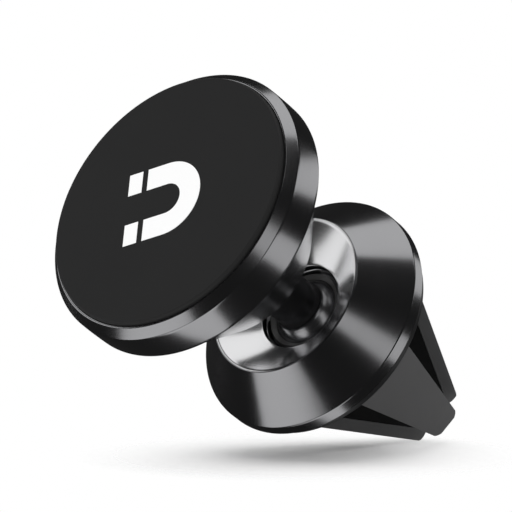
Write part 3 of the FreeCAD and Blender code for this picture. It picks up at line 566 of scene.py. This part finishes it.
class VENTMOUNT_OT_back_shell(bpy.types.Operator):
    """Turned metal cone behind the bezel, with the groove between them"""

    bl_idname = "ventmount.back_shell"
    bl_label = "Back shell"

    def execute(self, context):
        sizes = context.scene.mount_sizes
        front, rear, radius = station("back_shell")
        spigot = station("face_pad")[2] + sizes.bore_gap
        cone_front = station("bezel_ring")[1] + sizes.groove_width
        hole = sizes.neck_radius
        cavity = spigot - sizes.shell_wall
        floor = rear - sizes.shell_floor
        outline = [
            (cavity, front), (spigot, front), (spigot, cone_front, 0), (radius, cone_front),
            (sizes.shell_rear_radius, rear, sizes.shell_round), (hole, rear), (hole, floor, 0),
            (sizes.shell_rear_radius - sizes.shell_wall / 2, floor, 0), (cavity, cone_front, 0),
        ]
        new_piece("shell_cone", turn(outline, sizes.edge, sizes.steps), "back_shell")
        return {"FINISHED"}


# ---- stem ----
class VENTMOUNT_OT_stem(bpy.types.Operator):
    """Ball stud: shank, neck and ball in one turned piece"""

    bl_idname = "ventmount.stem"
    bl_label = "Ball stud"

    def execute(self, context):
        sizes = context.scene.mount_sizes
        front, rear, ball = station("ball_stud")
        centre = rear - ball
        neck = sizes.neck_radius
        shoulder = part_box("back_shell")[1].y + sizes.shoulder_gap
        shank = sizes.shank_radius
        foot = centre - math.sqrt(ball * ball - neck * neck)
        start = math.atan2(neck, centre - foot)
        outline = [(0, front, 0), (shank, front), (shank, shoulder, 0), (neck, shoulder)]
        outline.append((neck, foot, sizes.neck_fillet))
        for step in range(1, BALL_STEPS):
            angle = start + (math.pi - start) * step / BALL_STEPS
            outline.append((ball * math.sin(angle), centre - ball * math.cos(angle), 0))
        outline.append((0, rear, 0))
        new_piece("ball_and_neck", turn(outline, sizes.edge, sizes.stem_steps), "ball_stud")
        return {"FINISHED"}


# ---- knob ----
class VENTMOUNT_OT_knob(bpy.types.Operator):
    """Turned knob: hollow dish, lip, cone and band"""

    bl_idname = "ventmount.knob"
    bl_label = "Knob"

    def execute(self, context):
        sizes = context.scene.mount_sizes
        front, rear, radius = station("knob_shell")
        insert = station("thread_insert")[2]
        edge_y = rear - sizes.rim_width
        floor = front + sizes.dish_depth
        inner_lip = sizes.dish_lip - sizes.dish_lip_width
        back = floor + sizes.dish_wall
        bore = radius - sizes.rim_wall
        dish = [(sizes.dish_hole, floor)]
        dish += bowed(dish[0], (inner_lip, front), sizes.dish_bow, DISH_STEPS)
        outline = dish + [
            (inner_lip, front, sizes.edge), (sizes.dish_lip, front, sizes.edge),
            (radius, edge_y, sizes.rim_edge), (radius, rear), (bore, rear),
            (bore, edge_y, 0), (insert, edge_y, 0), (insert, back, 0), (sizes.dish_hole, back),
        ]
        knob = turn(outline, sizes.edge, sizes.steps)
        piece = new_piece("knob_body", knob, "knob_shell")
        # The dish's faces get the brighter copy of the metal, which about doubles their
        # reflections of the softboxes.
        piece.data.materials.append(finishes["brighter_dish"])
        for face in piece.data.polygons:
            middle = face.center
            spread = math.hypot(middle.x, middle.z)
            inside = spread < sizes.dish_lip - LIP_MARGIN and middle.y < floor + FLOOR_MARGIN
            face.material_index = 1 if inside else 0
        return {"FINISHED"}


class VENTMOUNT_OT_rear_ring(bpy.types.Operator):
    """Dark moulded ring behind the knob's band"""

    bl_idname = "ventmount.rear_ring"
    bl_label = "Rear ring"

    def execute(self, context):
        sizes = context.scene.mount_sizes
        front, rear, radius = station("rear_ring")
        band_rear = station("knob_shell")[1]
        bore = station("knob_shell")[2] - sizes.rim_wall
        inner = bore - sizes.ring_wall
        lip = inner - sizes.ring_lip
        lip_front = rear - sizes.ring_lip_length
        outline = [
            (inner, front, 0), (bore, front, 0), (bore, band_rear, 0), (radius, band_rear, 0),
            (radius, rear, sizes.ring_edge), (lip, rear), (lip, lip_front, 0),
            (inner, lip_front, 0),
        ]
        new_piece("knob_rear_ring", turn(outline, sizes.fine_edge, sizes.steps), "rear_ring")
        return {"FINISHED"}


# ---- clip ----
class VENTMOUNT_OT_clip(bpy.types.Operator):
    """Hub, rings and pins of the clip, smooth across their shallow edges"""

    bl_idname = "ventmount.clip"
    bl_label = "Clip"

    def execute(self, context):
        for node in ("clip_hub", "closing_ring", "socket_cap", "spreader_ring", "jaw_pins"):
            piece = new_piece(node + "_smooth", merged_copy(node), node)
            piece.data.set_sharp_from_angle(angle=CLIP_SHARP_ANGLE)
        return {"FINISHED"}


class VENTMOUNT_OT_jaws(bpy.types.Operator):
    """Four moulded jaw plates with fine rounded edges"""

    bl_idname = "ventmount.jaws"
    bl_label = "Jaw plates"

    def execute(self, context):
        make_jaw_pieces(context.scene.mount_sizes, "jaw_plate", "jaw_shell")
        return {"FINISHED"}


class VENTMOUNT_OT_grips(bpy.types.Operator):
    """Four rubber grips under the jaw plates, with rounded edges"""

    bl_idname = "ventmount.grips"
    bl_label = "Rubber grips"

    def execute(self, context):
        make_jaw_pieces(context.scene.mount_sizes, "jaw_grip", "jaw_rubber")
        return {"FINISHED"}


class VENTMOUNT_OT_inner_pieces(bpy.types.Operator):
    """Finishes of the inner pieces that keep their frame shape"""

    bl_idname = "ventmount.inner_pieces"
    bl_label = "Inner pieces"

    def execute(self, context):
        for node, item in frame["nodes"].items():
            if item.hide_render:
                continue
            item.data.materials.clear()
            item.data.materials.append(finishes[slot_of(node)])
        return {"FINISHED"}


# ---- stage ----
def sight_frame(stage):
    """The camera's own directions: to the right, up, and back towards the camera."""
    flat = math.cos(stage.elevation)
    back = Vector((math.sin(stage.azimuth) * flat, -math.cos(stage.azimuth) * flat,
                   math.sin(stage.elevation)))
    level = Vector((0, 0, 1)).cross(back).normalized()
    upright = back.cross(level)
    right = level * math.cos(stage.roll) + upright * math.sin(stage.roll)
    return right, back.cross(right), back


SOFTBOXES = [
    # name, degrees right and up of the camera's direction, width and height in degrees,
    # turn in degrees, brightness
    ("top", 22, 99, 54, 38, 0, 0.95),
    ("bevel", 11, 64, 10, 30, 0, 0.55),
    ("lip", -74, 60, 13, 13, 0, 0.9),
    ("left", -106, 13, 52, 30, 0, 0.9),
    ("lower_left", -58, -37, 50, 19, 20, 0.95),
    ("front", 8, 13, 14, 34, 22, 0.7),
    ("right", 110, 34, 44, 12, 0, 0.85),
    ("lower_right", 77, -30, 28, 17, 0, 0.8),
    ("bottom", -2, -82, 42, 48, 0, 0.9),
]


def softbox_direction(sight, right_degrees, up_degrees):
    """Direction from the mount, measured as an arc away from the camera's direction."""
    right, up, back = sight
    side = right * right_degrees + up * up_degrees
    arc = math.radians(side.length)
    return back * math.cos(arc) + side.normalized() * math.sin(arc)


class VENTMOUNT_OT_stage(bpy.types.Operator):
    """Camera, softboxes, soft surrounding light and a pale floor"""

    bl_idname = "ventmount.stage"
    bl_label = "Stage"

    def execute(self, context):
        stage = context.scene.mount_stage
        sight = sight_frame(stage)
        self.add_camera(context, stage, sight)
        for entry in SOFTBOXES:
            self.add_softbox(context, stage, sight, entry)
        self.add_floor(context, stage, sight)
        self.light_surroundings(context, stage)
        context.scene.view_settings.view_transform = "Standard"
        return {"FINISHED"}

    def add_camera(self, context, stage, sight):
        right, up, back = sight
        lens = bpy.data.cameras.new("camera")
        lens.lens = stage.lens
        lens.clip_start = CAMERA_NEAR
        lens.clip_end = CAMERA_FAR
        camera = bpy.data.objects.new("camera", lens)
        camera.matrix_world = Matrix.Translation(Vector(stage.aim) + back * stage.distance) @ (
            Matrix((right, up, back)).transposed().to_4x4())
        context.scene.collection.objects.link(camera)
        context.scene.camera = camera

    def add_softbox(self, context, stage, sight, entry):
        name, right_degrees, up_degrees, wide, high, turned, brightness = entry
        reach = stage.softbox_range
        width = 2 * reach * math.tan(math.radians(wide / 2))
        height = 2 * reach * math.tan(math.radians(high / 2))
        light = bpy.data.lights.new("softbox_" + name, "AREA")
        light.shape = "RECTANGLE"
        light.size = width
        light.size_y = height
        light.energy = brightness * math.pi * width * height
        box = bpy.data.objects.new("softbox_" + name, light)
        away = softbox_direction(sight, right_degrees, up_degrees)
        upright = sight[1] - sight[1].project(away)
        if upright.length < SHORT_UPRIGHT:
            upright = sight[2] - sight[2].project(away)
        upright.normalize()
        across = upright.cross(away)
        facing = Matrix((across, upright, away)).transposed().to_4x4()
        spin = Matrix.Rotation(math.radians(turned), 4, "Z")
        box.matrix_world = Matrix.Translation(Vector(stage.aim) + away * reach) @ facing @ spin
        box.visible_camera = False
        context.scene.collection.objects.link(box)

    def add_floor(self, context, stage, sight):
        """A pale floor under the lowest point, seen only from above."""
        up, back = sight[1:]
        normal = up * math.cos(stage.floor_tilt) + back * math.sin(stage.floor_tilt)
        lowest = min((vert.co.dot(normal) for item in frame["nodes"].values()
                      for vert in item.data.vertices))
        sheet = bmesh.new()
        bmesh.ops.create_circle(sheet, cap_ends=True, segments=FLOOR_SEGMENTS,
                                radius=stage.floor_radius)
        mesh = bpy.data.meshes.new("floor")
        sheet.to_mesh(mesh)
        sheet.free()
        floor = bpy.data.objects.new("floor", mesh)
        turned = Vector((0, 0, 1)).rotation_difference(normal).to_matrix().to_4x4()
        above = Vector((0, station("knob_shell")[1], 0))
        below = above - normal * (above.dot(normal) - lowest + stage.floor_gap)
        floor.matrix_world = Matrix.Translation(below) @ turned
        floor.visible_glossy = False
        mesh.materials.append(self.floor_finish(context, stage))
        context.scene.collection.objects.link(floor)

    def floor_finish(self, context, stage):
        """Pale from above, clear from below, and fading out away from the mount."""
        finish = Finish("pale_floor")
        finish.tree.nodes.remove(finish.skin)
        output = next(n for n in finish.tree.nodes if n.type == "OUTPUT_MATERIAL")
        shade = (*context.scene.mount_finishes.floor, 1)
        pale = finish.add("ShaderNodeBsdfDiffuse", inputs={"Color": shade})
        clear = finish.add("ShaderNodeBsdfTransparent")
        reach = finish.add("ShaderNodeVectorMath", {"operation": "LENGTH"}, {0: finish.place})
        fade = finish.add("ShaderNodeMapRange", inputs={
            "Value": reach.outputs["Value"], "From Min": stage.floor_full,
            "From Max": stage.floor_clear})
        behind = finish.add("ShaderNodeNewGeometry").outputs["Backfacing"]
        faded = Flow(finish, fade.outputs["Result"])
        hidden = faded.math("MAXIMUM", faded, behind)
        mix = finish.add("ShaderNodeMixShader", inputs={
            0: hidden, 1: pale.outputs[0], 2: clear.outputs[0]})
        finish.feed(output.inputs["Surface"], mix.outputs[0])
        return finish.material

    def light_surroundings(self, context, stage):
        """White behind the mount, soft light on matt pieces, dark in reflections."""
        world = bpy.data.worlds.new("studio")
        context.scene.world = world
        world.use_nodes = True
        tree = world.node_tree
        ray = tree.nodes.new("ShaderNodeLightPath")
        background = next(n for n in tree.nodes if n.type == "BACKGROUND")
        background.inputs["Color"].default_value = (1, 1, 1, 1)
        seen = tree.nodes.new("ShaderNodeMath")
        seen.operation = "MULTIPLY_ADD"
        tree.links.new(ray.outputs["Is Glossy Ray"], seen.inputs[0])
        seen.inputs[1].default_value = stage.mirrored - stage.ambient
        seen.inputs[2].default_value = stage.ambient
        strength = tree.nodes.new("ShaderNodeMath")
        strength.operation = "MAXIMUM"
        tree.links.new(ray.outputs["Is Camera Ray"], strength.inputs[0])
        tree.links.new(seen.outputs[0], strength.inputs[1])
        tree.links.new(strength.outputs[0], background.inputs["Strength"])


PIECES = [
    VENTMOUNT_OT_face_pad, VENTMOUNT_OT_emblem, VENTMOUNT_OT_bezel, VENTMOUNT_OT_back_shell,
    VENTMOUNT_OT_stem, VENTMOUNT_OT_knob, VENTMOUNT_OT_rear_ring, VENTMOUNT_OT_clip,
    VENTMOUNT_OT_jaws, VENTMOUNT_OT_grips, VENTMOUNT_OT_inner_pieces, VENTMOUNT_OT_stage,
]


class VENTMOUNT_PT_panel(bpy.types.Panel):
    """Sidebar panel with a button for each piece"""

    bl_idname = "VENTMOUNT_PT_panel"
    bl_label = "Vent mount"
    bl_space_type = "VIEW_3D"
    bl_region_type = "UI"
    bl_category = "Vent mount"

    def draw(self, context):
        for operator in PIECES:
            self.layout.operator(operator.bl_idname)


CLASSES = [MountSizes, MountFinishes, StageSettings, *PIECES, VENTMOUNT_PT_panel]


def register():
    for item in CLASSES:
        bpy.utils.register_class(item)
    bpy.types.Scene.mount_sizes = PointerProperty(type=MountSizes)
    bpy.types.Scene.mount_finishes = PointerProperty(type=MountFinishes)
    bpy.types.Scene.mount_stage = PointerProperty(type=StageSettings)


def unregister():
    del bpy.types.Scene.mount_sizes, bpy.types.Scene.mount_finishes, bpy.types.Scene.mount_stage
    for item in reversed(CLASSES):
        bpy.utils.unregister_class(item)


def main():
    register()
    finishes.update(make_finishes(bpy.context.scene.mount_finishes))
    for operator in PIECES:
        group, name = operator.bl_idname.split(".")
        getattr(getattr(bpy.ops, group), name)()


if __name__ == "__main__":
    main()
